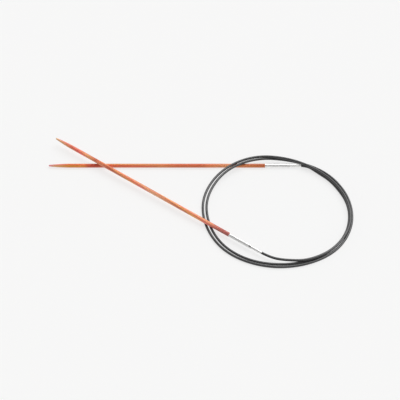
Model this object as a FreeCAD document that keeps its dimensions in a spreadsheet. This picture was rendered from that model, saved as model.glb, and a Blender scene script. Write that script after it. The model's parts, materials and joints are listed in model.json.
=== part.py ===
"""Circular knitting needle: two laminated wooden points joined by one coiled cable.

Frame: millimetres, +Z up, the needle lying on a table at Z = 0. The rear point lies along X
with its tip towards -X. The front point rests on the cable and crosses over the rear point.
The origin is under the middle of the two points. Both points are made of the same five
pieces, each drawn on its own Z axis: station 0 is the cable's mouth in its sleeve, and
the stations grow towards the tip. A piece's Placement then lays it along its point.
"""

import FreeCAD, Part
import math
import os
import Sketcher

Vector = FreeCAD.Vector
doc = FreeCAD.newDocument("CircularNeedle")

# ---------------------------------------------------------------- driving dimensions

DIMENSIONS = [
    # alias, value, meaning
    ("gauge", 2.0, "needle diameter, a standard knitting size"),
    ("point_length", 127.0, "cable's mouth to tip, the usual five inches"),
    ("taper_length", 11.8, "tapered part of the tip, its nose included"),
    ("nose_radius", 0.42, "rounded end of the tip"),
    ("ferrule_start", 6.1, "station of the ferrule's end towards the cable"),
    ("ferrule_end", 18.2, "station where the wood starts"),
    ("ferrule_bore", 1.5, "inner diameter of the ferrule"),
    ("edge_round", 0.14, "rounding on the metal's outer edges"),
    ("seam_round", 0.06, "softened edges where the wood meets the ferrule"),
    ("tenon_length", 6.0, "turned end of the wood inside the ferrule"),
    ("glue_gap", 0.01, "radial gap of a glued or pressed piece"),
    ("bush_length", 2.0, "retaining bush, pressed into the ferrule's end"),
    ("bush_bore", 0.86, "running bore on the stud's neck"),
    ("stake_hole", 0.7, "hole through the ferrule and bush, where they are staked"),
    ("stake_station", 6.65, "station of the stake hole's centre"),
    ("stud_neck", 0.8, "swivel stud's shank and neck"),
    ("stud_head", 1.3, "swivel stud's head, held behind the bush"),
    ("head_length", 0.9, "length of the stud's head"),
    ("end_play", 0.05, "axial play of the stud's head behind the bush"),
    ("sleeve_gap", 0.1, "axial gap between the cable sleeve and the ferrule"),
    ("sleeve_diameter", 1.6, "cable sleeve"),
    ("sleeve_mouth", 1.42, "cable sleeve at its swaged mouth"),
    ("swage_length", 1.8, "cone of the sleeve's swaged mouth"),
    ("cable_diameter", 1.2, "nylon cable"),
    ("cable_depth", 2.0, "cable inside its sleeve"),
    ("rear_x", 63.5, "rear sleeve's mouth"),
    ("rear_y", 20.5, "rear point's line"),
    ("front_x", 41.11, "front sleeve's mouth"),
    ("front_y", -37.36, "front sleeve's mouth"),
    ("front_z", 1.95, "front sleeve's mouth, held up by the cable"),
    ("front_turn", 143.73, "direction of the front point, degrees from +X"),
    ("front_rise", 0.7, "rise of the front point towards its tip, degrees"),
    ("coil_x", 49.75, "middle of the coil"),
    ("coil_y", -9.0, "middle of the coil"),
]

# The cable's route. It leaves the rear sleeve, goes round clockwise for two and a half
# turns and ends in the front sleeve. Straight runs join the points, and arcs round them.
ROUTE_START = [(61.5, 20.5, 1.0), (66.4, 20.5, 1.0), (70.8, 16.5, 0.7)]

# Coil stations: degrees from +X about the coil's middle, radius of the point, height.
# A turn climbs over the rear point between 136 and 106 degrees. The second turn lies
# outside the first, and the third lies on both and works its way inwards.
COIL_TURNS = [
    # first turn
    [(32, 34.0, 0.6), (3, 35.7, 0.6), (-27, 36.2, 0.6), (-56, 35.8, 0.6),
     (-85, 34.9, 0.6), (-113, 35.3, 0.6), (-139, 35.5, 0.6), (-166, 34.7, 0.6),
     (166, 35.2, 0.9), (136, 34.9, 2.85), (106, 34.4, 2.9), (76, 34.8, 0.9)],
    # second turn
    [(46, 36.8, 0.6), (16, 36.9, 0.6), (-14, 37.4, 0.6), (-44, 37.65, 0.6),
     (-74, 36.7, 0.6), (-104, 36.9, 0.6), (-134, 37.6, 0.6), (-164, 36.8, 0.6),
     (166, 37.2, 0.9), (136, 36.6, 2.85), (106, 35.9, 3.35), (76, 33.9, 3.0)],
    # last half turn
    [(46, 34.2, 1.9), (16, 35.3, 1.8), (-14, 36.6, 1.8), (-43, 36.4, 1.8),
     (-68, 35.3, 1.8)],
]
ROUTE_END = [(51.0, -41.6, 1.9), (44.33, -39.73, 1.9), (39.5, -36.18, 1.97)]

ARC_SHARE = 0.45        # share of the shorter run that an arc takes up on each side


def fill_sheet():
    """Put every driving dimension in a cell, with its alias."""
    sheet = doc.addObject("Spreadsheet::Sheet", "Dims")
    for row, (alias, value, meaning) in enumerate(DIMENSIONS, start=1):
        sheet.set(f"A{row}", alias)
        sheet.set(f"B{row}", str(value))
        sheet.set(f"C{row}", meaning)
        sheet.setAlias(f"B{row}", alias)
    doc.recompute()
    return sheet


dims = fill_sheet()


def bound(text):
    """Turn a formula on bare aliases into one that names the sheet."""
    for alias, _, _ in DIMENSIONS:
        text = text.replace(f"<{alias}>", f"Dims.{alias}")
    return text


def value(text):
    """Work out a formula on the sheet's cells."""
    return float(dims.evalExpression(bound(text)))


# ---------------------------------------------------------------- turned pieces

def origin_plane(body, role):
    """Find one of a body's own origin planes."""
    return [f for f in body.Origin.OriginFeatures if f.Role == role][0]


def new_sketch(body, name, role):
    """Attach a new sketch to one of the body's origin planes."""
    sketch = body.newObject("Sketcher::SketchObject", name)
    sketch.AttachmentSupport = (origin_plane(body, role), [""])
    sketch.MapMode = "FlatFace"
    return sketch


def arc_centre(start, end, radius):
    """Centre of a convex arc of a turned outline. It lies on the axis side."""
    chord = end - start
    inward = Vector(-chord.y, chord.x, 0).normalize()
    reach = math.sqrt(max(radius ** 2 - (chord.Length / 2) ** 2, 0))
    return (start + end) * 0.5 + inward * reach


def outline(sketch, corners):
    """Draw a closed outline, and bind its corners and arc radii to the sheet.

    A corner is (radius, station) or (radius, station, arc), where arc is the radius of
    the edge that leaves the corner. The corners run anticlockwise: up the outside.
    """
    points = [Vector(value(c[0]), value(c[1]), 0) for c in corners]
    for i, corner in enumerate(corners):
        start, end = points[i], points[(i + 1) % len(points)]
        if len(corner) == 3:
            radius = value(corner[2])
            centre = arc_centre(start, end, radius)
            angles = [math.atan2(p.y - centre.y, p.x - centre.x) for p in (start, end)]
            ring = Part.Circle(centre, Vector(0, 0, 1), radius)
            sketch.addGeometry(Part.ArcOfCircle(ring, *angles), False)
        else:
            sketch.addGeometry(Part.LineSegment(start, end), False)
    for i in range(len(corners)):
        following = (i + 1) % len(corners)
        sketch.addConstraint(Sketcher.Constraint("Coincident", i, 2, following, 1))
    for i, corner in enumerate(corners):
        bind(sketch, "DistanceX", i, corner[0])
        bind(sketch, "DistanceY", i, corner[1])
        if len(corner) == 3:
            index = sketch.addConstraint(
                Sketcher.Constraint("Radius", i, value(corner[2])))
            sketch.setExpression(f"Constraints[{index}]", bound(corner[2]))


def bind(sketch, kind, geometry, formula):
    """Hold the start of a piece of geometry at a distance from the sketch's origin."""
    amount = value(formula)
    if abs(amount) < 1e-9:
        side = -2 if kind == "DistanceX" else -1
        sketch.addConstraint(Sketcher.Constraint("PointOnObject", geometry, 1, side))
        return
    index = sketch.addConstraint(
        Sketcher.Constraint(kind, -1, 1, geometry, 1, amount))
    sketch.setExpression(f"Constraints[{index}]", bound(formula))


def turned(name, corners):
    """A body turned about its Z axis from an outline."""
    body = doc.addObject("PartDesign::Body", name)
    sketch = new_sketch(body, name + "_outline", "XZ_Plane")
    outline(sketch, corners)
    doc.recompute()
    turning = body.newObject("PartDesign::Revolution", name + "_turning")
    turning.Profile = sketch
    turning.ReferenceAxis = (sketch, ["V_Axis"])
    turning.Angle = 360.0
    sketch.Visibility = False
    doc.recompute()
    return body


def drill_stake_hole(body, name):
    """Drill through the wall on the +X side only, and make sure that it cut."""
    before = body.Shape.Volume
    sketch = new_sketch(body, name + "_hole_circle", "YZ_Plane")
    circle = Part.Circle(Vector(0, value("<stake_station>"), 0), Vector(0, 0, 1),
                         value("<stake_hole> / 2"))
    sketch.addGeometry(circle, False)
    sketch.addConstraint(Sketcher.Constraint("PointOnObject", 0, 3, -2))
    height = sketch.addConstraint(
        Sketcher.Constraint("DistanceY", -1, 1, 0, 3, value("<stake_station>")))
    sketch.setExpression(f"Constraints[{height}]", bound("<stake_station>"))
    width = sketch.addConstraint(
        Sketcher.Constraint("Radius", 0, value("<stake_hole> / 2")))
    sketch.setExpression(f"Constraints[{width}]", bound("<stake_hole> / 2"))
    doc.recompute()
    hole = body.newObject("PartDesign::Pocket", name + "_hole")
    hole.Profile = sketch
    hole.Type = 0
    hole.Reversed = True
    hole.setExpression("Length", bound("<gauge>"))
    sketch.Visibility = False
    doc.recompute()
    if body.Shape.Volume >= before - 1e-4:
        raise RuntimeError(f"{name}: the stake hole cut nothing")


def wooden_shaft(name):
    """Laminated wood: glued tenon, straight shaft, bowed taper and rounded nose."""
    taper = "(<taper_length> - <nose_radius>)"
    drop = "(<gauge> / 2 - <nose_radius>)"
    bow = f"({taper} ^ 2 + {drop} ^ 2) / (2 * {drop})"
    tenon = "<ferrule_bore> / 2 - <glue_gap>"
    return turned(name, [
        ("0", "<ferrule_end> - <tenon_length>"),
        (tenon, "<ferrule_end> - <tenon_length>"),
        (tenon, "<ferrule_end>"),
        ("<gauge> / 2 - <seam_round>", "<ferrule_end>", "<seam_round>"),
        ("<gauge> / 2", "<ferrule_end> + <seam_round>"),
        ("<gauge> / 2", "<point_length> - <taper_length>", bow),
        ("<nose_radius>", "<point_length> - <nose_radius>", "<nose_radius>"),
        ("0", "<point_length>"),
    ])


def ferrule(name):
    """Plated tube that holds the wood at one end and the bush at the other."""
    body = turned(name, [
        ("<ferrule_bore> / 2", "<ferrule_start>"),
        ("<gauge> / 2 - <edge_round>", "<ferrule_start>", "<edge_round>"),
        ("<gauge> / 2", "<ferrule_start> + <edge_round>"),
        ("<gauge> / 2", "<ferrule_end> - <seam_round>", "<seam_round>"),
        ("<gauge> / 2 - <seam_round>", "<ferrule_end>"),
        ("<ferrule_bore> / 2", "<ferrule_end>"),
    ])
    drill_stake_hole(body, name)
    return body


def retaining_bush(name):
    """Bush in the ferrule's end. The stud's neck turns in it."""
    outside = "<ferrule_bore> / 2 - <glue_gap>"
    body = turned(name, [
        ("<bush_bore> / 2", "<ferrule_start>"),
        (outside, "<ferrule_start>"),
        (outside, "<ferrule_start> + <bush_length>"),
        ("<bush_bore> / 2", "<ferrule_start> + <bush_length>"),
    ])
    drill_stake_hole(body, name)
    return body


def swivel_stud(name):
    """Headed pin: its shank is fast in the cable sleeve, and its head turns."""
    head = "<ferrule_start> + <bush_length> + <end_play>"
    return turned(name, [
        ("0", "<cable_depth> + <end_play>"),
        ("<stud_neck> / 2", "<cable_depth> + <end_play>"),
        ("<stud_neck> / 2", head),
        ("<stud_head> / 2", head),
        ("<stud_head> / 2", f"{head} + <head_length> - <edge_round>", "<edge_round>"),
        ("<stud_head> / 2 - <edge_round>", f"{head} + <head_length>"),
        ("0", f"{head} + <head_length>"),
    ])


def cable_sleeve(name):
    """Metal sleeve, swaged on the cable's end and pressed on the stud's shank."""
    shoulder = "<ferrule_start> - <sleeve_gap>"
    cable_bore = "<cable_diameter> / 2 + <glue_gap>"
    shank_bore = "<stud_neck> / 2 + <glue_gap>"
    return turned(name, [
        (cable_bore, "0"),
        ("<sleeve_mouth> / 2", "0"),
        ("<sleeve_diameter> / 2", "<swage_length>"),
        ("<sleeve_diameter> / 2", f"{shoulder} - <edge_round>", "<edge_round>"),
        ("<sleeve_diameter> / 2 - <edge_round>", shoulder),
        (shank_bore, shoulder),
        (shank_bore, "<cable_depth>"),
        (cable_bore, "<cable_depth>"),
    ])


# ---------------------------------------------------------------- the two points

def lay_along(mouth, direction, hole_facing):
    """Placement that takes station 0 to the mouth and local +X to the stake hole."""
    turn = FreeCAD.Rotation(hole_facing, Vector(), direction, "ZXY")
    return FreeCAD.Placement(mouth, turn)


def front_direction():
    """Unit vector from the front sleeve's mouth to its tip."""
    turn = math.radians(value("<front_turn>"))
    rise = math.radians(value("<front_rise>"))
    flat = math.cos(rise)
    return Vector(flat * math.cos(turn), flat * math.sin(turn), math.sin(rise))


POINTS = {
    # the rear point lies on the table, with its stake hole turned down and away
    "rear": lay_along(
        Vector(value("<rear_x>"), value("<rear_y>"), value("<gauge> / 2")),
        Vector(-1, 0, 0), Vector(0, 0.7, -0.7)),
    # the front point's stake hole faces up
    "front": lay_along(
        Vector(value("<front_x>"), value("<front_y>"), value("<front_z>")),
        front_direction(), Vector(-0.35, -0.49, 0.8)),
}

PIECES = {
    "shaft": wooden_shaft,
    "ferrule": ferrule,
    "retaining_bush": retaining_bush,
    "swivel_stud": swivel_stud,
    "cable_sleeve": cable_sleeve,
}


def make_points():
    """Make every piece of both points, and lay it in place."""
    made = []
    for side, placement in POINTS.items():
        for piece, maker in PIECES.items():
            name = f"{side}_{piece}"
            body = maker(name)
            body.Label = name
            body.Placement = placement
            made.append(body)
    return made


# ---------------------------------------------------------------- the cable

def route_points():
    """The whole route: out of the rear sleeve, round the coil, into the front sleeve."""
    middle = Vector(value("<coil_x>"), value("<coil_y>"), 0)
    points = [Vector(*p) for p in ROUTE_START]
    for turn in COIL_TURNS:
        for degrees, radius, height in turn:
            angle = math.radians(degrees)
            reach = Vector(radius * math.cos(angle), radius * math.sin(angle), height)
            points.append(middle + reach)
    points += [Vector(*p) for p in ROUTE_END]
    return points


def rounded_path(points):
    """Straight runs joined by tangent arcs, as large as their two runs allow."""
    edges = []
    radii = []
    last = points[0]
    for before, corner, after in zip(points, points[1:], points[2:]):
        run_in = corner - before
        run_out = after - corner
        half_turn = run_in.getAngle(run_out) / 2
        setback = ARC_SHARE * min(run_in.Length, run_out.Length)
        radius = setback / math.tan(half_turn)
        unit_in = Vector(run_in).normalize()
        unit_out = Vector(run_out).normalize()
        start = corner - unit_in * setback
        end = corner + unit_out * setback
        to_centre = (unit_out - unit_in).normalize()
        crown = corner + to_centre * (radius / math.cos(half_turn) - radius)
        edges.append(Part.LineSegment(last, start).toShape())
        edges.append(Part.Arc(start, crown, end).toShape())
        radii.append(radius)
        last = end
    edges.append(Part.LineSegment(last, points[-1]).toShape())
    return Part.Wire(edges), radii


def make_cable():
    """The cable: a round section swept along its path."""
    path, radii = rounded_path(route_points())
    spine = doc.addObject("Part::Feature", "cable_path")
    spine.Shape = path
    section = doc.addObject("Part::Circle", "cable_section")
    section.setExpression("Radius", bound("<cable_diameter> / 2"))
    start = path.Edges[0]
    section.Placement = FreeCAD.Placement(
        start.valueAt(start.FirstParameter),
        FreeCAD.Rotation(Vector(0, 0, 1), start.tangentAt(start.FirstParameter)))
    cable = doc.addObject("Part::Sweep", "cable")
    cable.Sections = [section]
    cable.Spine = (spine, [f"Edge{i + 1}" for i in range(len(path.Edges))])
    cable.Solid = True
    cable.Frenet = False
    cable.Transition = "Right corner"
    doc.recompute()
    print("cable arc radii, mm:", " ".join(f"{r:.1f}" for r in radii))
    print(f"cable length {path.Length:.1f} mm, "
          f"with both points {path.Length + 2 * value('<point_length> - <cable_depth>'):.1f} mm")
    expected = path.Length * math.pi * value("<cable_diameter> / 2") ** 2
    print(f"cable volume {cable.Shape.Volume:.2f} mm3, section times length {expected:.2f}")
    if abs(cable.Shape.Volume / expected - 1) > 0.01:
        raise RuntimeError("the cable's volume is wrong")
    return cable


# ---------------------------------------------------------------- check and write

def check(made):
    """Stop at any failed object, and at any piece that isn't one sound solid."""
    for thing in doc.Objects:
        if {"Invalid", "Error"} & set(thing.State):
            raise RuntimeError(f"{thing.Name}: {thing.State}")
    for piece in made:
        shape = piece.Shape
        if shape.isNull() or not shape.isValid() or len(shape.Solids) != 1:
            raise RuntimeError(f"{piece.Label}: not one sound solid")
        print(f"{piece.Label}: {shape.Volume:.3f} mm3")


def write(made):
    """Write one STEP file for each piece."""
    os.makedirs("parts", exist_ok=True)
    for piece in made:
        piece.Shape.exportStep(f"parts/{piece.Label}.step")


pieces = make_points() + [make_cable()]
doc.recompute()
check(pieces)
write(pieces)
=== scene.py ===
import json
import math
import bpy
import numpy as np
from mathutils import Matrix, Vector


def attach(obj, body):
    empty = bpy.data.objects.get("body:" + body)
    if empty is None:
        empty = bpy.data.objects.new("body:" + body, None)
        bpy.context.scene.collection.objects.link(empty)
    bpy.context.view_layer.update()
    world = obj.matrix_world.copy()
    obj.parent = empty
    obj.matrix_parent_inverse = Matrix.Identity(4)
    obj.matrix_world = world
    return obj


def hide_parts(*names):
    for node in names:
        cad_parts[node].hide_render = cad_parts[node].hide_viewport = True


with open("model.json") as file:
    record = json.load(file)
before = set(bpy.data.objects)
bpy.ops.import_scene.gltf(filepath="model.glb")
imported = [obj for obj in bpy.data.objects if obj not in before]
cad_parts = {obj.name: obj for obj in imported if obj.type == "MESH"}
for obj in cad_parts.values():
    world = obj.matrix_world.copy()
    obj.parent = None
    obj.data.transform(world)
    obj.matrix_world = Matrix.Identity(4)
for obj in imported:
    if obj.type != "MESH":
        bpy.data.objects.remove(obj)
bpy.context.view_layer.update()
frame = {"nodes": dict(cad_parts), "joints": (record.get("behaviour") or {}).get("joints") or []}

# Circular knitting needle: two laminated birch points on one coiled nylon cable.
# Metres throughout. The needle lies on the table at z = 0.
mm = 0.001


# camera

cameraLook = {
    "aimedAt": (12.65 * mm, -2.2 * mm, 0),      # spot on the table in the middle of the view
    "distance": 458.7 * mm,
    "elevation": 47,                            # degrees above the table, looking along +Y
    "fieldOfView": 24,                          # degrees
    "sensorWidth": 36,                          # millimetres, the camera's own unit
    "nearest": 0.01,                            # the range that it draws
    "farthest": 50,
}


def makeCamera(look):
    # stands back from its aim by the distance, along the elevation
    up = math.radians(look["elevation"])
    back = Vector((0, -math.cos(up), math.sin(up)))
    data = bpy.data.cameras.new("needleCamera")
    data.sensor_width = look["sensorWidth"]
    data.angle = math.radians(look["fieldOfView"])
    data.clip_start = look["nearest"]
    data.clip_end = look["farthest"]
    camera = bpy.data.objects.new("needleCamera", data)
    camera.location = Vector(look["aimedAt"]) + back * look["distance"]
    camera.rotation_euler = (math.radians(90 - look["elevation"]), 0, 0)
    bpy.context.scene.collection.objects.link(camera)
    bpy.context.scene.camera = camera


makeCamera(cameraLook)
print("camera in place")


# shader kit

class Value:
    # A number, colour or place that varies over a surface. Arithmetic on a number adds
    # Math nodes.
    def __init__(self, paint, socket):
        self.paint = paint
        self.socket = socket

    def maths(self, operation, *values):
        return self.paint.add("ShaderNodeMath", {"operation": operation}, dict(enumerate(values)))

    def __add__(self, other):
        return self.maths("ADD", self, other)

    def __radd__(self, other):
        return self.maths("ADD", other, self)

    def __sub__(self, other):
        return self.maths("SUBTRACT", self, other)

    def __rsub__(self, other):
        return self.maths("SUBTRACT", other, self)

    def __mul__(self, other):
        return self.maths("MULTIPLY", self, other)

    def __rmul__(self, other):
        return self.maths("MULTIPLY", other, self)

    def __truediv__(self, other):
        return self.maths("DIVIDE", self, other)

    def __rtruediv__(self, other):
        return self.maths("DIVIDE", other, self)

    def fraction(self):
        return self.maths("FRACT", self)

    def size(self):
        return self.maths("ABSOLUTE", self)

    def between(self, low, high):
        # 0 at low and 1 at high, smooth and held at both ends
        return self.paint.add("ShaderNodeMapRange", {"interpolation_type": "SMOOTHSTEP"},
                              {"Value": self, "From Min": low, "From Max": high})


class Paint:
    # The node tree of one material, or of the air, and the shader that it feeds.
    def __init__(self, owner, shader="Principled BSDF", **constants):
        self.owner = owner
        owner.use_nodes = True
        self.tree = owner.node_tree
        self.shader = self.tree.nodes[shader]
        for socket, constant in constants.items():
            self.shader.inputs[socket.replace("_", " ")].default_value = constant

    def add(self, kind, settings, inputs, output=0):
        # a node: its settings first, then the values or links of its sockets
        node = self.tree.nodes.new(kind)
        for name, setting in settings.items():
            if name == "stops":
                self.setStops(node.color_ramp, setting)
            else:
                setattr(node, name, setting)
        for name, value in inputs.items():
            self.feed(node.inputs[name], value)
        return Value(self, node.outputs[output])

    def feed(self, socket, value):
        if isinstance(value, Value):
            self.tree.links.new(value.socket, socket)
        else:
            socket.default_value = value

    def setStops(self, ramp, stops):
        while len(ramp.elements) < len(stops):
            ramp.elements.new(1)
        for element, (place, colour) in zip(ramp.elements, stops):
            element.position = place
            element.color = (*colour, 1)

    def ramp(self, value, stops):
        return self.add("ShaderNodeValToRGB", {"stops": stops}, {"Fac": value})

    def blend(self, amount, under, over, how="MIX"):
        # socket 0 is the Mix node's factor, 6 and 7 are its colours, and output 2 is the result
        sides = {i: side if isinstance(side, Value) else (*side, 1)
                 for i, side in ((6, under), (7, over))}
        return self.add("ShaderNodeMix", {"data_type": "RGBA", "blend_type": how},
                        {0: amount, **sides}, output=2)

    def objectPlace(self):
        return self.add("ShaderNodeTexCoord", {}, {}, output="Object")

    def uvPlace(self):
        return self.add("ShaderNodeTexCoord", {}, {}, output="UV")

    def mapped(self, place, location=(0, 0, 0), rotation=(0, 0, 0), scale=(1, 1, 1)):
        return self.add("ShaderNodeMapping", {}, {
            "Vector": place, "Location": location, "Rotation": rotation, "Scale": scale})

    def split(self, place):
        axes = self.add("ShaderNodeSeparateXYZ", {}, {"Vector": place})
        outputs = axes.socket.node.outputs
        return [Value(self, outputs[name]) for name in "XYZ"]

    def noise(self, place, scale=1.0, detail=2.0, roughness=0.5):
        return self.add("ShaderNodeTexNoise", {}, {
            "Vector": place, "Scale": scale, "Detail": detail, "Roughness": roughness})

    def cosine(self, heading, direction):
        # of the angle between two directions, which both have a length of 1
        return self.add("ShaderNodeVectorMath", {"operation": "DOT_PRODUCT"},
                        {0: heading, 1: direction}, output="Value")

    def bump(self, height, strength, distance):
        return self.add("ShaderNodeBump", {}, {
            "Height": height, "Strength": strength, "Distance": distance}, output="Normal")

    def finish(self, **channels):
        for socket, value in channels.items():
            self.feed(self.shader.inputs[socket.replace("_", " ")], value)
        return self.owner


# surfaces

def gridMesh(name, points, uv):
    # A grid of points, rows by columns. The columns run round and join up. The rows run
    # along, and the first and last of them are drawn in to a point each. The uv grid has
    # one column more, so that a pattern is whole where the columns join.
    rows, columns = points.shape[:2]
    startPole, endPole = rows * columns, rows * columns + 1
    poles = np.stack([points[0].mean(axis=0), points[-1].mean(axis=0)])
    vertices = np.concatenate([points.reshape(-1, 3), poles])
    row = np.arange(rows - 1)[:, None] * columns
    lastRow = (rows - 1) * columns
    here = np.arange(columns)
    following = (here + 1) % columns
    quads = np.stack([row + here, row + following,
                      row + columns + following, row + columns + here], axis=-1)
    start = np.stack([np.full(columns, startPole), following, here], axis=-1)
    end = np.stack([np.full(columns, endPole), lastRow + here, lastRow + following], axis=-1)
    loops = np.concatenate([quads.ravel(), start.ravel(), end.ravel()]).astype(np.int32)
    sizes = np.repeat([4, 3], [(rows - 1) * columns, 2 * columns]).astype(np.int32)
    quadUv = np.stack([uv[:-1, :-1], uv[:-1, 1:], uv[1:, 1:], uv[1:, :-1]], axis=2)
    startUv = np.stack([uv[0, :-1], uv[0, 1:], uv[0, :-1]], axis=1)
    endUv = np.stack([uv[-1, :-1], uv[-1, :-1], uv[-1, 1:]], axis=1)
    corners = np.concatenate([part.reshape(-1, 2) for part in (quadUv, startUv, endUv)])
    mesh = bpy.data.meshes.new(name)
    mesh.vertices.add(len(vertices))
    mesh.vertices.foreach_set("co", vertices.astype(np.float32).ravel())
    mesh.loops.add(len(loops))
    mesh.loops.foreach_set("vertex_index", loops)
    mesh.polygons.add(len(sizes))
    starts = np.concatenate([[0], np.cumsum(sizes)[:-1]]).astype(np.int32)
    mesh.polygons.foreach_set("loop_start", starts)
    mesh.update(calc_edges=True)
    mesh.validate()
    layer = mesh.uv_layers.new(name="along")
    layer.data.foreach_set("uv", corners.astype(np.float32).ravel())
    mesh.polygons.foreach_set("use_smooth", np.ones(len(sizes), dtype=bool))
    mesh.update()
    return mesh


def showPiece(name, mesh, body, replaced, material):
    piece = bpy.data.objects.new(name, mesh)
    bpy.context.scene.collection.objects.link(piece)
    piece.data.materials.append(material)
    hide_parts(replaced)
    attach(piece, body)
    return piece


# the nylon cable

cableLook = {
    "diameter": 1.2 * mm,
    "length": 544.9 * mm,               # the whole cable, its ends in the sleeves included
    "coilMiddle": (49.75 * mm, -9.0 * mm),
    "sidesRound": 24,
    "stepsPerPoint": 24,
    "dark": (0.018, 0.018, 0.019),      # the nylon is cloudy between these two
    "light": (0.028, 0.028, 0.029),
    "rubbed": (0.105, 0.105, 0.108),    # where it has rubbed on itself
    "rubbedShare": 0.45,                # how much of that colour shows there
    "dust": (0.30, 0.30, 0.295),
    "dustShare": 0.5,
    "gloss": 0.8,
    "lineDepth": 0.025 * mm,            # of the die's lines along it
}

# The route, given in millimetres: out of the rear sleeve, round the coil, into the front one.
routeStart = [(61.5, 20.5, 1.0), (66.4, 20.5, 1.0), (70.8, 16.5, 0.7)]
coilTurns = [    # degrees from +X about the coil's middle, distance from it, height
    [(32, 34.0, 0.6), (3, 35.7, 0.6), (-27, 36.2, 0.6), (-56, 35.8, 0.6),
     (-85, 34.9, 0.6), (-113, 35.3, 0.6), (-139, 35.5, 0.6), (-166, 34.7, 0.6),
     (166, 35.2, 0.9), (136, 34.9, 2.85), (106, 34.4, 2.9), (76, 34.8, 0.9)],
    [(46, 36.8, 0.6), (16, 36.9, 0.6), (-14, 37.4, 0.6), (-44, 37.65, 0.6),
     (-74, 36.7, 0.6), (-104, 36.9, 0.6), (-134, 37.6, 0.6), (-164, 36.8, 0.6),
     (166, 37.2, 0.9), (136, 36.6, 2.85), (106, 35.9, 3.35), (76, 33.9, 3.0)],
    [(46, 34.2, 1.9), (16, 35.3, 1.8), (-14, 36.6, 1.8), (-43, 36.4, 1.8), (-68, 35.3, 1.8)],
]
routeEnd = [(51.0, -41.6, 1.9), (44.33, -39.73, 1.9), (39.5, -36.18, 1.97)]


def cableRoute(look):
    # start, then every coil station turned into a point about the coil's middle, then end
    route = [Vector(point) * mm for point in routeStart]
    middleX, middleY = look["coilMiddle"]
    for turn in coilTurns:
        for degrees, reach, height in turn:
            angle = math.radians(degrees)
            route.append(Vector((middleX + reach * mm * math.cos(angle),
                                 middleY + reach * mm * math.sin(angle), height * mm)))
    return route + [Vector(point) * mm for point in routeEnd]


def cableLine(look):
    # one smooth NURBS line with the route as its control points, read back as points
    curve = bpy.data.curves.new("cableLine", "CURVE")
    curve.dimensions = "3D"
    curve.resolution_u = look["stepsPerPoint"]
    spline = curve.splines.new("NURBS")
    route = cableRoute(look)
    spline.points.add(len(route) - 1)
    for point, place in zip(spline.points, route):
        point.co = (*place, 1)
    spline.order_u = 3
    spline.use_endpoint_u = True
    carrier = bpy.data.objects.new("cableLine", curve)
    mesh = bpy.data.meshes.new_from_object(carrier)
    line = np.empty(len(mesh.vertices) * 3)
    mesh.vertices.foreach_get("co", line)
    bpy.data.objects.remove(carrier)
    bpy.data.curves.remove(curve)
    bpy.data.meshes.remove(mesh)
    return line.reshape(-1, 3)


def tubeMesh(name, line, look):
    # A circle carried along the line. At each point the circle is spanned by the level
    # direction square to the line and by the one square to both. u is the length along
    # the line and v the way round, both in millimetres.
    along = np.gradient(line, axis=0)
    along /= np.linalg.norm(along, axis=1)[:, None]
    level = np.cross(along, (0, 0, 1))
    level /= np.linalg.norm(level, axis=1)[:, None]
    upright = np.cross(level, along)
    radius = look["diameter"] / 2
    angle = np.linspace(0, 2 * np.pi, look["sidesRound"] + 1)
    ring = angle[:-1]
    out = (np.cos(ring)[None, :, None] * level[:, None, :]
           + np.sin(ring)[None, :, None] * upright[:, None, :])
    points = line[:, None, :] + radius * out
    travelled = np.concatenate([[0], np.cumsum(np.linalg.norm(np.diff(line, axis=0), axis=1))])
    uv = np.stack(np.broadcast_arrays(travelled[:, None] / mm, angle[None, :] * radius / mm), axis=-1)
    return gridMesh(name, points, uv)


def nylonMaterial(look):
    # Charcoal nylon: faint die lines along it, cloudy sheen, rubbed spots and specks of dust.
    # Each pattern's scale says how often it changes in a millimetre, along the cable and
    # round it, and its location keeps it apart from the others.
    paint = Paint(bpy.data.materials.new("nylonCharcoal"), IOR=1.53, Specular_IOR_Level=look["gloss"])
    place = paint.uvPlace()
    lines = paint.noise(paint.mapped(place, scale=(0.05, 6, 1)), detail=3.0)
    cloud = paint.noise(paint.mapped(place, scale=(0.12, 0.4, 1)), detail=3.0, roughness=0.6)
    rubbed = paint.noise(paint.mapped(place, location=(40, 3, 0), scale=(0.5, 1.4, 1)), detail=4.0)
    rubbedSpots = rubbed.between(0.62, 0.75)
    dust = paint.noise(paint.mapped(place, location=(7, 1, 0), scale=(2.5, 5, 1)))
    base = paint.blend(cloud.between(0.35, 0.65), look["dark"], look["light"])
    worn = paint.blend(rubbedSpots * look["rubbedShare"], base, look["rubbed"])
    colour = paint.blend(dust.between(0.70, 0.78) * look["dustShare"], worn, look["dust"])
    roughness = 0.27 + cloud * 0.14 + rubbedSpots * 0.12
    height = lines * 0.7 + rubbed * 0.3
    return paint.finish(Base_Color=colour, Roughness=roughness,
                        Normal=paint.bump(height, strength=0.45, distance=look["lineDepth"]))


line = cableLine(cableLook)
cable = showPiece("nylon_cable", tubeMesh("nylon_cable", line, cableLook), "cable_assembly",
                  "cable", nylonMaterial(cableLook))
print("cable laid,", len(line), "rings")


# the laminated points

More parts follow.
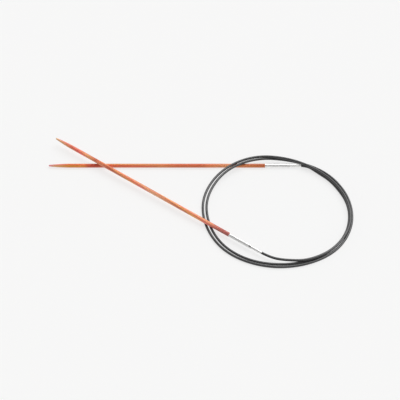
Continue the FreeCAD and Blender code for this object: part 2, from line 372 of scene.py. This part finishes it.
shaftLook = {
    "radius": 1.0 * mm,
    "ferruleEnd": 18.2 * mm,        # stations from the sleeve's mouth
    "length": 127.0 * mm,
    "tenonLength": 6.0 * mm,
    "tenonRadius": 0.74 * mm,
    "taperLength": 11.8 * mm,
    "noseRadius": 0.42 * mm,
    "seamRound": 0.06 * mm,
    "tenonFace": (0.02, 0.9, 1.0),  # rings on the tenon's flat end, as shares of its radius
    "tenonRings": 3,
    "seamRings": 7,
    "shaftRings": 40,
    "taperRings": 25,
    "noseRings": 10,
    "lastRing": 0.02,               # share of the nose's radius at which the last ring lies
    "lastRingBack": 0.0004 * mm,    # how far it lies behind the very tip
    "sidesRound": 48,
    "veneers": [(1.00, 1.00, 1.00), (1.00, 0.58, 0.85), (1.00, 0.97, 0.60),
                (0.74, 0.46, 0.52), (0.97, 0.80, 0.78)],    # dyes, as shares of the block's colour
    "dyeHeld": (0.08, 0.92),        # the part of a veneer's thickness that has one dye
    "warp": 0.9,                    # how far the veneers wander, in veneers
    "grain": (0.55, 0.30, 0.20),    # darkens the dye along the grain
    "grainShare": 0.18,             # how much of that colour shows there
    "pore": (0.20, 0.05, 0.02),
    "poreShare": 0.35,
    "glue": (0.22, 0.05, 0.02),     # line between two veneers
    "glueShare": 0.25,
    "grainDepth": 0.02 * mm,
}

# what differs between the two points
pointLooks = {
    "rear": {
        "turn": 65,             # degrees that the block of veneers is turned about the needle
        "drift": 0.035,         # veneers that are crossed in a millimetre along the needle
        "thickness": 0.60,      # of one veneer, in millimetres
        "offset": 1.35,         # where in the block the point was cut, in veneers
        # the block's own colour at stations in millimetres from the mouth
        "colours": [(0, (0.74, 0.25, 0.06)), (19, (0.74, 0.25, 0.06)), (30, (0.86, 0.33, 0.11)),
                    (36, (1.00, 0.52, 0.22)), (45, (0.95, 0.32, 0.12)), (51, (0.77, 0.17, 0.06)),
                    (62, (0.78, 0.18, 0.06)), (71, (0.84, 0.28, 0.10)), (99, (0.78, 0.28, 0.07)),
                    (104, (0.60, 0.11, 0.03)), (107, (0.70, 0.15, 0.04)), (109, (0.88, 0.30, 0.06)),
                    (117, (0.86, 0.32, 0.06)), (121, (0.90, 0.42, 0.22)), (126, (0.92, 0.55, 0.40))],
    },
    "front": {
        "turn": 35,
        "drift": 0.13,
        "thickness": 0.55,
        "offset": 0.4,
        "colours": [(0, (0.58, 0.18, 0.15)), (20, (0.58, 0.18, 0.15)), (26, (0.72, 0.22, 0.15)),
                    (29, (0.94, 0.38, 0.18)), (45, (0.98, 0.45, 0.20)), (63, (1.00, 0.50, 0.26)),
                    (75, (0.96, 0.36, 0.16)), (87, (0.98, 0.44, 0.20)), (91, (0.78, 0.22, 0.10)),
                    (96, (0.96, 0.36, 0.15)), (100, (0.80, 0.23, 0.11)), (105, (1.00, 0.50, 0.20)),
                    (111, (1.00, 0.24, 0.14)), (116, (0.86, 0.25, 0.13)), (121, (0.98, 0.46, 0.26)),
                    (126, (0.95, 0.66, 0.50))],
    },
}


def shaftProfile(look):
    # radius against station: glued tenon, softened seam, straight shaft, bowed taper that
    # meets the straight part smoothly, and a nose that is part of a ball
    ferruleEnd, tenon = look["ferruleEnd"], look["tenonRadius"]
    tenonStart = ferruleEnd - look["tenonLength"]
    radius, nose = look["radius"], look["noseRadius"]
    seam = look["seamRound"]
    taperStart = look["length"] - look["taperLength"]
    taperEnd = look["length"] - nose
    drop = radius - nose
    bow = ((taperEnd - taperStart) ** 2 + drop ** 2) / (2 * drop)
    quarter = np.linspace(0, np.pi / 2, look["seamRings"])
    taper = np.linspace(taperStart, taperEnd, look["taperRings"])
    ball = np.linspace(0, np.pi / 2, look["noseRings"] + 2)[1:-1]
    parts = [
        (tenonStart, tenon * np.array(look["tenonFace"])),
        (np.linspace(tenonStart, ferruleEnd, look["tenonRings"] + 1)[1:], tenon),
        (ferruleEnd, (tenon + radius - seam) / 2),
        (ferruleEnd + seam * (1 - np.cos(quarter)), radius - seam + seam * np.sin(quarter)),
        (np.linspace(ferruleEnd + seam, taperStart, look["shaftRings"] + 2)[1:-1], radius),
        (taper, radius - bow + np.sqrt(bow ** 2 - (taper - taperStart) ** 2)),
        (taperEnd + nose * np.sin(ball), nose * np.cos(ball)),
        (look["length"] - look["lastRingBack"], look["lastRing"] * nose),
    ]
    rings = [np.stack(np.broadcast_arrays(*np.atleast_1d(*part))) for part in parts]
    return np.concatenate(rings, axis=1)


def turnedMesh(name, mouth, direction, look):
    # The profile turned about the line from the mouth along the direction. u is the
    # station and v the way round, both in millimetres.
    station, radius = shaftProfile(look)
    side = direction.orthogonal().normalized()
    other = direction.cross(side)
    angle = np.linspace(0, 2 * np.pi, look["sidesRound"] + 1)
    ring = angle[:-1]
    out = (np.cos(ring)[:, None] * np.array(side) + np.sin(ring)[:, None] * np.array(other))
    points = (np.array(mouth) + station[:, None, None] * np.array(direction)
              + radius[:, None, None] * out[None, :, :])
    uv = np.stack(np.broadcast_arrays(station[:, None] / mm,
                                      angle[None, :] * look["radius"] / mm), axis=-1)
    return gridMesh(name, points, uv)


def alongNeedle(paint, mouth, direction):
    # object coordinates turned so that X runs up the needle from its mouth, in millimetres
    side = direction.orthogonal().normalized()
    turn = Matrix((direction, side, direction.cross(side)))
    shift = turn @ Vector(mouth) / mm
    return paint.mapped(paint.objectPlace(), location=tuple(-shift),
                        rotation=tuple(turn.to_euler()), scale=(1 / mm,) * 3)


def veneerStops(look):
    # each veneer holds its dye across most of its thickness, with a narrow change between
    count = len(look["veneers"])
    return [((i + share) / count, dye)
            for i, dye in enumerate(look["veneers"]) for share in look["dyeHeld"]]


def birchMaterial(side, mouth, direction, look):
    # Dyed veneers glued in a block: the layer number grows across the needle and slowly
    # along it, so that each veneer's edge runs down the needle as a long slant.
    cut = pointLooks[side]
    paint = Paint(bpy.data.materials.new(side + "Birch"), IOR=1.5, Coat_Roughness=0.12,
                  Coat_IOR=1.5, Specular_IOR_Level=0.4)
    place = alongNeedle(paint, mouth, direction)
    station, across, depth = paint.split(place)
    warp = paint.noise(paint.mapped(place, scale=(0.06, 0.5, 0.5)))
    turn = math.radians(cut["turn"])
    layer = ((across * math.cos(turn) + depth * math.sin(turn)) / cut["thickness"]
             + station * cut["drift"] + warp * look["warp"] + cut["offset"])
    dye = paint.ramp((layer / len(look["veneers"])).fraction(), veneerStops(look))
    reach = look["length"] / mm
    block = paint.ramp(station / reach, [(spot / reach, colour) for spot, colour in cut["colours"]])
    dyed = paint.blend(1.0, block, dye, "MULTIPLY")
    grain = paint.noise(paint.mapped(place, scale=(0.35, 7, 7)), detail=4.0, roughness=0.6)
    pores = paint.noise(paint.mapped(place, location=(3, 5, 1), scale=(0.9, 14, 14)))
    grained = paint.blend(grain.between(0.3, 0.7) * look["grainShare"], dyed, look["grain"],
                          "MULTIPLY")
    pored = paint.blend(pores.between(0.66, 0.74) * look["poreShare"], grained, look["pore"])
    seam = (layer.fraction() - 0.5).size().between(0.44, 0.49)
    colour = paint.blend(seam * look["glueShare"], pored, look["glue"])
    height = grain * 0.6 + pores * 0.4
    return paint.finish(Base_Color=colour, Roughness=0.30 + grain * 0.15,
                        Coat_Weight=0.35 + grain * 0.2,
                        Normal=paint.bump(height, strength=0.2, distance=look["grainDepth"]))


joints = {joint["name"]: joint for joint in frame["joints"]}
jointStation = 7.2 * mm             # how far up its point from the mouth each swivel lies
for side in pointLooks:
    joint = joints[side + "_swivel"]
    direction = Vector(joint["axis"]).normalized()
    mouth = Vector(joint["pos_m"]) - direction * jointStation
    name = side + "_birch_shaft"
    showPiece(name, turnedMesh(name, mouth, direction, shaftLook), side + "_point",
              side + "_shaft", birchMaterial(side, mouth, direction, shaftLook))
print("birch shafts turned")


# the metal fittings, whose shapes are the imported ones, and whose patterns' scales are per metre

toolMark = 0.01 * mm            # depth of the drawn lines and of the tool rings

plateLook = {
    "dull": (0.86, 0.857, 0.845),
    "bright": (0.92, 0.918, 0.908),
    "mark": (0.70, 0.695, 0.68),    # small marks from handling
    "markShare": 0.5,
}

# the two colours that each turned metal's tarnish spreads between
turnedLooks = {
    "bushBrass": ((0.20, 0.13, 0.06), (0.11, 0.07, 0.03)),
    "studSteel": ((0.14, 0.14, 0.145), (0.07, 0.07, 0.075)),
}


def platedMaterial(look):
    # satin nickel plate: a cloudy polish, fine drawn lines and small marks from handling
    paint = Paint(bpy.data.materials.new("nickelPlate"), Metallic=1.0, IOR=2.0)
    place = paint.objectPlace()
    cloud = paint.noise(place, scale=500.0, detail=3.0)
    drawn = paint.noise(paint.mapped(place, scale=(250, 5000, 5000)))
    marks = paint.noise(paint.mapped(place, rotation=(0.4, 0.3, 0.7), scale=(700, 4500, 2200)))
    marked = marks.between(0.68, 0.76)
    polish = paint.blend(cloud.between(0.3, 0.7), look["dull"], look["bright"])
    colour = paint.blend(marked * look["markShare"], polish, look["mark"])
    roughness = 0.22 + cloud * 0.10 + drawn * 0.08 + marked * 0.1
    return paint.finish(Base_Color=colour, Roughness=roughness,
                        Normal=paint.bump(drawn, strength=0.06, distance=toolMark))


def turnedMetalMaterial(name):
    # small turned parts that hardly show: fine tool rings and a spread of tarnish
    light, dark = turnedLooks[name]
    paint = Paint(bpy.data.materials.new(name), Metallic=1.0)
    place = paint.objectPlace()
    tarnish = paint.noise(place, scale=700.0, detail=3.0)
    rings = paint.noise(paint.mapped(place, scale=(12000, 2000, 2000)), detail=1.0)
    colour = paint.blend(tarnish.between(0.3, 0.7), light, dark)
    return paint.finish(Base_Color=colour, Roughness=0.35 + tarnish * 0.2,
                        Normal=paint.bump(rings, strength=0.15, distance=toolMark))


plate = platedMaterial(plateLook)
finishes = {
    "ferrule": plate,
    "cable_sleeve": plate,
    "retaining_bush": turnedMetalMaterial("bushBrass"),
    "swivel_stud": turnedMetalMaterial("studSteel"),
}
for side in pointLooks:
    for piece, material in finishes.items():
        frame["nodes"][f"{side}_{piece}"].material_slots[0].material = material
print("fittings finished")


# the table, the light and the air around it

roomLook = {
    "tableHalf": 8.0,                       # half its width
    "tableColour": (0.20, 0.20, 0.199),
    "tableSpeck": 1.01,                     # how much lighter its specks are
    "tableGlow": 0.727,                     # light that the table itself gives off
    "airLight": 0.58,
    "airDark": 0.32,                        # in the open front of the light tent
    "frontHeight": 47,                      # degrees above the table, towards -Y
    "frontEdge": (0.3, 0.95),               # cosines of the angles where it begins and is full
    "softboxPlace": (0.42, 0.40, 0.82),     # the way to the bright softbox, at the back right
    "softboxEdge": (0.80, 0.97),            # cosines, as for the front
    "softboxLight": 3.0,
    "lampPlace": (0.45, 0.55, 0.95),
    "lampSize": 1.0,
    "lampPower": 0.6,
}


def makeTable(look):
    half = look["tableHalf"]
    mesh = bpy.data.meshes.new("table")
    mesh.from_pydata([(-half, -half, 0), (half, -half, 0), (half, half, 0), (-half, half, 0)],
                     [], [(0, 1, 2, 3)])
    table = bpy.data.objects.new("table", mesh)
    bpy.context.scene.collection.objects.link(table)
    paint = Paint(bpy.data.materials.new("paleTable"), Roughness=0.85, Specular_IOR_Level=0.0,
                  Emission_Color=(1, 1, 0.998, 1), Emission_Strength=look["tableGlow"])
    speck = paint.noise(paint.objectPlace(), scale=60.0)
    lighter = tuple(channel * look["tableSpeck"] for channel in look["tableColour"])
    table.data.materials.append(
        paint.finish(Base_Color=paint.blend(speck, look["tableColour"], lighter)))


def makeAir(look):
    # bright all round, darker towards the open front of the tent, brightest at the softbox
    air = bpy.data.worlds.new("studioAir")
    bpy.context.scene.world = air
    paint = Paint(air, "Background", Color=(1, 1, 1, 1))
    heading = paint.add("ShaderNodeTexCoord", {}, {}, output="Generated")
    up = math.radians(look["frontHeight"])
    front = paint.cosine(heading, (0, -math.cos(up), math.sin(up)))
    softbox = paint.cosine(heading, Vector(look["softboxPlace"]).normalized())
    drop = look["airLight"] - look["airDark"]
    strength = look["airLight"] - front.between(*look["frontEdge"]) * drop
    paint.finish(Strength=strength + softbox.between(*look["softboxEdge"]) * look["softboxLight"])


def makeLamp(look):
    # a soft lamp that faces the middle of the table
    lamp = bpy.data.lights.new("softLamp", "AREA")
    lamp.size = look["lampSize"]
    lamp.energy = look["lampPower"]
    place = Vector(look["lampPlace"])
    holder = bpy.data.objects.new("softLamp", lamp)
    holder.location = place
    holder.rotation_euler = place.to_track_quat("Z", "Y").to_euler()
    bpy.context.scene.collection.objects.link(holder)


makeTable(roomLook)
makeAir(roomLook)
makeLamp(roomLook)
bpy.context.scene.view_settings.view_transform = "Standard"
print("table and light in place")
